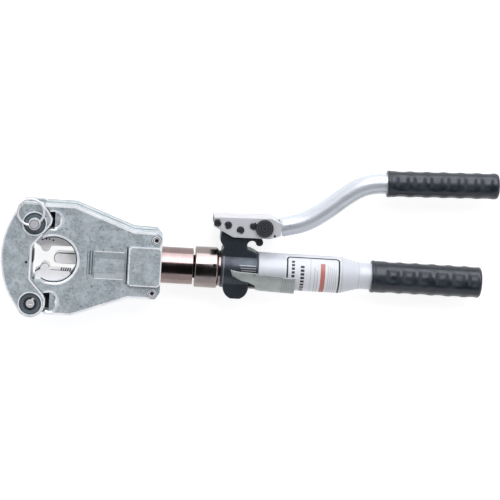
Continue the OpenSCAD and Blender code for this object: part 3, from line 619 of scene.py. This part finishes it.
# ------------------------------------------------------------------ grips
def grip(name, node, length, radius, bore, origin, turn, spots, row, depth):
    def dimples(x, a, r):
        if r < radius * 0.9:
            return r
        d = 0.0
        for base, share in ((row, 1.0), (row + math.pi, 1.0), (row + math.pi / 2, 0.45), (row - math.pi / 2, 0.45)):
            w = (a - base + math.pi) % (2 * math.pi) - math.pi
            for s in spots:
                q = ((x - s) / (6.6 * MM)) ** 4 + (w * radius / (8.2 * MM)) ** 4
                if q < 6:
                    d += share * math.exp(-q * 1.3)
        return r - depth * d

    prof = [(-0.9 * MM, bore + 0.4 * MM), (-0.9 * MM, radius - 0.9 * MM), (-0.4 * MM, radius - 0.2 * MM), (0.6 * MM, radius),
            (2.2 * MM, radius), (3.2 * MM, radius - 0.35 * MM)]
    x = 4.2 * MM
    while x < length - 4.6 * MM:
        prof.append((x, radius - 0.35 * MM))
        x += 0.9 * MM
    for k in range(9):
        t = k / 8 * math.pi / 2
        prof.append((length - 4.2 * MM + 4.0 * MM * math.sin(t), radius - 0.35 * MM - 3.4 * MM * (1 - math.cos(t))))
    prof += [(length - 0.1 * MM, radius * 0.55), (length - 0.5 * MM, radius * 0.35), (length - 0.5 * MM, 0.0)]
    prof = [(prof[0][0] + 20 * MM, bore + 0.05 * MM), (prof[0][0], bore + 0.05 * MM)] + prof[1:]
    return lathe(name, prof, "grip", body_of[node], node, 112, origin, turn, dimples, 40)


lo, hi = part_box("lower_grip")
grip("lower_grip_rubber", "lower_grip", hi.x - lo.x - 0.0 * MM, 18.2 * MM, 12.4 * MM, (lo.x, 0, 0), 0.0,
     [(x - lo.x / MM) * MM for x in (391.5, 409.5, 427.8, 447.2, 466.0, 484.0)], math.radians(14), 1.7 * MM)
UG = (379.6 * MM, 105.95 * MM, 0)
grip("upper_grip_rubber", "upper_grip", 125.3 * MM, 15.0 * MM, 11.15 * MM, UG, 2.02,
     [x * MM for x in (15.5, 34.5, 53.5, 72.6, 91.6, 110.4)], math.radians(14), 1.5 * MM)

# ------------------------------------------------------------------ bent handle tube
hp = [(259, 49.2), (268, 51.3), (277, 53.6), (286, 56.3), (294.5, 60.2), (302.5, 65.1), (311, 71.2), (320, 78.4), (329, 85.8),
      (337.5, 92.4), (345.5, 97.8), (353, 101.4), (361, 103.8), (369, 105.2), (378, 105.9), (440, 108.1), (499, 110.16)]


def cr(a, b, c, d, t):
    return [0.5 * ((2 * b[i]) + (c[i] - a[i]) * t + (2 * a[i] - 5 * b[i] + 4 * c[i] - d[i]) * t * t
                   + (3 * b[i] - a[i] - 3 * c[i] + d[i]) * t ** 3) for i in (0, 1)]


def tube():
    line = []
    for i in range(len(hp) - 1):
        a, b, c, d = hp[max(i - 1, 0)], hp[i], hp[i + 1], hp[min(i + 2, len(hp) - 1)]
        for k in range(6 if i < 14 else 2):
            line.append(cr(a, b, c, d, k / (6 if i < 14 else 2)))
    line.append(list(hp[-1]))
    line = [p for p in line if p[0] > 262.75]
    sm = line[:]
    for _ in range(6):
        sm = [sm[0]] + [[(sm[i - 1][j] + 2 * sm[i][j] + sm[i + 1][j]) / 4 for j in (0, 1)] for i in range(1, len(sm) - 1)] + [sm[-1]]
    bm = bmesh.new()
    rings, seg = [], 64
    for i, p in enumerate(sm):
        q0, q1 = Vector(sm[max(i - 1, 0)]), Vector(sm[min(i + 1, len(sm) - 1)])
        t = (q1 - q0).normalized()
        d = p[0] - 262.75
        r = 11.08 - 1.0 * max(0.0, 1 - d / 1.6) ** 2
        rings.append([bm.verts.new(((p[0] - t.y * r * math.cos(2 * math.pi * k / seg)) * MM, (p[1] + t.x * r * math.cos(2 * math.pi * k / seg)) * MM,
                                    r * math.sin(2 * math.pi * k / seg) * MM)) for k in range(seg)])
    for a, b in zip(rings, rings[1:]):
        for k in range(seg):
            bm.faces.new((a[k], a[(k + 1) % seg], b[(k + 1) % seg], b[k]))
    bm.faces.new(rings[0])
    bm.faces.new(rings[-1])
    bmesh.ops.recalc_face_normals(bm, faces=bm.faces)
    me = bpy.data.meshes.new("handle_tube_bent")
    bm.to_mesh(me)
    bm.free()
    return put("handle_tube_bent", me, "tube_alu", body_of["handle_tube"], "handle_tube", 40)


tube()

# ------------------------------------------------------------------ reservoir
lo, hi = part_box("reservoir_tube")
R0 = 20.5
prof = rounded([(240.2, 18.5), (239.5, 19.6), (240.2, R0), (333.8, R0), (352.6, 15.4), (355.6, 14.9), (368.6, 14.9), (368.6, 12.4), (480, 12.4)],
               {1: 0.3, 2: 0.5, 3: 2.6, 4: 1.2, 5: 0.4, 6: 0.3})
lathe("reservoir_body", [(x * MM, r * MM) for x, r in prof], "reservoir_alu", body_of["reservoir_tube"], "reservoir_tube", 128, smooth=30)
# rolled edge where the tube meets the pump block, and the end band of the neck
lathe("reservoir_front_band", [(x * MM, r * MM) for x, r in rounded([(240.3, 20.3), (240.3, 20.75), (243.4, 20.75), (243.4, 20.3)], 0.25)],
      "reservoir_alu", "pump", None, 128, closed=True)
for i, (x, r, w) in enumerate(((334.0, 20.42, 0.35), (352.9, 15.36, 0.5), (366.9, 14.86, 0.4))):
    lathe("reservoir_line_%d" % i, [(a * MM, b * MM) for a, b in ((x, r - 0.3), (x + w, r - 0.3), (x + w, r + 0.08), (x, r + 0.08))],
          "label_grey", "pump", None, 128, closed=True)


# ------------------------------------------------------------------ label
def patch(name, cells, r, mat, node=None, thick=0.05, body="pump", place=None):
    """Cells [(x0, x1, phi0, phi1)] in mm and degrees from +Z towards +Y, as thin plates on the tube."""
    bm = bmesh.new()
    for x0, x1, p0, p1 in cells:
        n = max(1, int(abs(p1 - p0) / 3))
        rows = []
        for rr in (r, r + thick):
            rows.append([[bm.verts.new((x * MM, rr * math.sin(math.radians(p0 + (p1 - p0) * k / n)) * MM,
                                        rr * math.cos(math.radians(p0 + (p1 - p0) * k / n)) * MM)) for k in range(n + 1)] for x in (x0, x1)])
        (a0, a1), (b0, b1) = rows
        for k in range(n):
            bm.faces.new((b0[k], b0[k + 1], b1[k + 1], b1[k]))
            bm.faces.new((a0[k], a1[k], a1[k + 1], a0[k + 1]))
            bm.faces.new((a0[k], a0[k + 1], b0[k + 1], b0[k]))
            bm.faces.new((a1[k], b1[k], b1[k + 1], a1[k + 1]))
        bm.faces.new((a0[0], b0[0], b1[0], a1[0]))
        bm.faces.new((a0[n], a1[n], b1[n], b0[n]))
    bmesh.ops.recalc_face_normals(bm, faces=bm.faces)
    if place:
        bm.transform(place)
    me = bpy.data.meshes.new(name)
    bm.to_mesh(me)
    bm.free()
    return put(name, me, mat, body, node, 30)


LR = 20.5 + 0.32
patch("label_film", [(270, 332.6, -100, 69)], 20.53, "label", "label_plate", 0.27)


def outline(x0, x1, p0, p1, w, rc):
    """The straight sides of a rounded frame line on the tube, with gaps left at the corners: w wide, rc the corner
    radius in mm.
    """
    k = math.degrees(1 / LR)
    cells = [(x0 + rc, x1 - rc, p1 - w * k, p1), (x0 + rc, x1 - rc, p0, p0 + w * k),
             (x0, x0 + w, p0 + rc * k, p1 - rc * k), (x1 - w, x1, p0 + rc * k, p1 - rc * k)]
    for cx, cy, a0 in ((x0 + rc, p1 - rc * k, 90), (x1 - rc, p1 - rc * k, 0), (x0 + rc, p0 + rc * k, 180), (x1 - rc, p0 + rc * k, 270)):
        pass
    return cells


def ring_arc(name, cx, cp, r_out, w, a0, a1, mat, n=8):
    bm = bmesh.new()
    k = math.degrees(1 / LR)
    lay = []
    for h in (LR, LR + 0.05):
        for rr in (r_out - w, r_out):
            lay.append([bm.verts.new(((cx + rr * math.cos(math.radians(a0 + (a1 - a0) * i / n))) * MM,
                                      h * math.sin(math.radians(cp + k * rr * math.sin(math.radians(a0 + (a1 - a0) * i / n)))) * MM,
                                      h * math.cos(math.radians(cp + k * rr * math.sin(math.radians(a0 + (a1 - a0) * i / n)))) * MM))
                        for i in range(n + 1)])
    a, b, c, d = lay
    for i in range(n):
        bm.faces.new((c[i], d[i], d[i + 1], c[i + 1]))
        bm.faces.new((a[i], a[i + 1], b[i + 1], b[i]))
        bm.faces.new((a[i], c[i], c[i + 1], a[i + 1]))
        bm.faces.new((b[i], b[i + 1], d[i + 1], d[i]))
    bm.faces.new((a[0], b[0], d[0], c[0]))
    bm.faces.new((a[n], c[n], d[n], b[n]))
    bmesh.ops.recalc_face_normals(bm, faces=bm.faces)
    me = bpy.data.meshes.new(name)
    bm.to_mesh(me)
    bm.free()
    return put(name, me, mat, "pump", None, 30)


k = math.degrees(1 / LR)
X0, X1, P0, P1, W, RC = 271.2, 331.4, -97, 64, 1.9, 4.8
patch("label_border", outline(X0, X1, P0, P1, W, RC), LR, "label_ink")
for i, (cx, cp, a0) in enumerate(((X0 + RC, P1 - RC * k, 90), (X1 - RC, P1 - RC * k, 0), (X0 + RC, P0 + RC * k, 180), (X1 - RC, P0 + RC * k, 270))):
    ring_arc("label_corner_%d" % i, cx, cp, RC, W, a0, a0 + 90, "label_ink")
patch("label_bar", [(309.5, 314.6, -92, 40)], LR, "label_bar")
patch("label_rule", [(298.0, 298.6, -92, 60)], LR, "label_grey")
grey = []
dark = []
for x, w, top in ((277.0, 3.4, 46), (287.0, 4.2, 30)):
    a = top
    for i in range(9):
        dark.append((x, x + w, a - 7.5, a))
        a -= 11.5
patch("label_blocks", dark, LR, "label_ink")
for i, x in enumerate((302.6, 305.6)):
    grey.append((x, x + 0.8, -90, 26 - 8 * i))
for i in range(5):
    grey.append((317.6 + 2.2 * i, 318.2 + 2.2 * i, -90 + 3 * i, 34 - 3 * i))
patch("label_rules", grey, LR, "label_grey")

# ------------------------------------------------------------------ ribs on the front of the pump block
# grey ribs on the front of the pump block, each with a strip of painted shadow beside it
for i, (p, x0) in enumerate(((19.3, 218.5), (11.5, 219.5), (4.5, 220.5))):
    patch("pump_rib_%d" % i, [(x0, 237.0, p - 1.6, p + 1.6)], 21.3, "rib_light", None, 0.7)
    patch("pump_rib_gap_%d" % i, [(x0 - 0.6, 237.0, p - 3.1, p - 1.7)], 21.45, "shadow_gap", None, 0.1)
patch("pump_step", [(200.2, 201.6, -60, 78)], 21.4, "bolt_line", None, 0.6)
# thumb grooves and edge lines on the release lever, in its tilted place, as thin strips of painted shade
RX = Matrix.Rotation(math.radians(33), 4, "X")
tilted = (Matrix.Translation((0.236, 0, 0)) @ RX @ Matrix.Translation((0, 0, 0.0204)) @ Matrix.Rotation(math.radians(-3), 4, "Y")
          @ Matrix.Translation((-0.236, 0, -0.0204)) @ RX.inverted())
patch("release_thumb_groove_shade", [(268.7 + 1.75 * i, 269.3 + 1.75 * i, -59, -9) for i in range(7)], 23.96, "rib_light", None, 0.05, "release", tilted)
patch("release_pad_shade_line", [(266.7, 267.2, -72, -6)], 23.15, "rib_light", None, 0.1, "release", tilted)
patch("release_edge_shade_line", [(243.5, 266.5, -72.5, -71.0), (243.5, 266.5, -7.4, -6.0)], 23.15, "rib_light", None, 0.1, "release", tilted)
# painted shade standing for the notch at the end of the pump block
patch("pump_notch_shade", [(236.9, 239.0, -58, -38)], 21.45, "shadow_gap", None, 0.1)
# ------------------------------------------------------------------ stage
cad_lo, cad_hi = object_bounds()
me = bpy.data.meshes.new("floor")
bm = bmesh.new()
bmesh.ops.create_grid(bm, x_segments=1, y_segments=1, size=6)
bm.to_mesh(me)
bm.free()
floor = bpy.data.objects.new("floor", me)
floor.location = (0.24, 0, cad_box[0].z - 0.0005)
scene.collection.objects.link(floor)
fm = bpy.data.materials.new("floor_pale")
fm.use_nodes = True
fb = fm.node_tree.nodes["Principled BSDF"]
fb.inputs["Base Color"].default_value = (0.42, 0.42, 0.42, 1)
fb.inputs["Roughness"].default_value = 0.9
fb.inputs["Specular IOR Level"].default_value = 0.1
fb.inputs["Emission Color"].default_value = (1, 1, 1, 1)
fb.inputs["Emission Strength"].default_value = 0.78
me.materials.append(fm)
floor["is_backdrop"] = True


def studio_world():
    """One soft surround, fixed in world space: dark straight above, a bright ring lower down."""
    w = bpy.data.worlds.new("studio")
    scene.world = w
    w.use_nodes = True
    t = w.node_tree
    bg = t.nodes["Background"]
    co = t.nodes.new("ShaderNodeTexCoord")

    def dot(v):
        n = t.nodes.new("ShaderNodeVectorMath")
        n.operation = "DOT_PRODUCT"
        n.inputs[1].default_value = v
        t.links.new(co.outputs["Generated"], n.inputs[0])
        return n.outputs["Value"]

    def ramp(sock, stops, lo=-1.0, hi=1.0):
        m = t.nodes.new("ShaderNodeMapRange")
        m.inputs["From Min"].default_value = lo
        m.inputs["From Max"].default_value = hi
        t.links.new(sock, m.inputs["Value"])
        r = t.nodes.new("ShaderNodeValToRGB")
        e = r.color_ramp.elements
        while len(e) < len(stops):
            e.new(0.5)
        for i, (p, v) in enumerate(stops):
            e[i].position = p
            e[i].color = (v, v, v * 1.02, 1)
        t.links.new(m.outputs["Result"], r.inputs["Fac"])
        return r.outputs["Color"]

    cap = ramp(dot((0, -0.17, 0.985)), [(0.0, 1.0), (0.885, 1.0), (0.897, 0.9), (0.912, 0.03), (1.0, 0.02)])
    side = ramp(dot((0, 1, 0)), [(0.0, 0.17), (0.55, 0.20), (0.68, 1.0), (0.9, 1.0), (1.0, 0.6)])
    strip = ramp(dot((1, 0, 0)), [(0.0, 0.1), (0.40, 0.12), (0.44, 1.0), (0.645, 1.0), (0.70, 0.12), (1.0, 0.1)])

    def times(a, b, kind="MULTIPLY"):
        n = t.nodes.new("ShaderNodeMix")
        n.data_type = "RGBA"
        n.blend_type = kind
        n.inputs[0].default_value = 1.0
        t.links.new(a, n.inputs[6])
        t.links.new(b, n.inputs[7])
        return n.outputs[2]

    floor_level = ramp(dot((0, 0, 1)), [(0.0, 0.165), (1.0, 0.165)])
    t.links.new(times(cap, times(times(side, strip), floor_level, "LIGHTEN")), bg.inputs["Color"])
    bg.inputs["Strength"].default_value = 5.6


studio_world()

cam = bpy.data.cameras.new("photo_camera")
cam.lens = 131.33
cam.sensor_width = 36
cam.clip_end = 30
co = bpy.data.objects.new("photo_camera", cam)
right = Vector((0.99638565, 0.06587373, 0.05363106))
up = Vector((-0.0572777, 0.98725439, -0.14848584))
back = Vector((-0.06272881, 0.14487729, 0.9874592))
rot = Matrix((right, up, back)).transposed()
co.matrix_world = Matrix.Translation(Vector((0.10172, 0.31887, 2.02219))) @ rot.to_4x4()
scene.collection.objects.link(co)
scene.camera = co
scene.view_settings.view_transform = "Standard"
scene.view_settings.look = "None"

lo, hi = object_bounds()
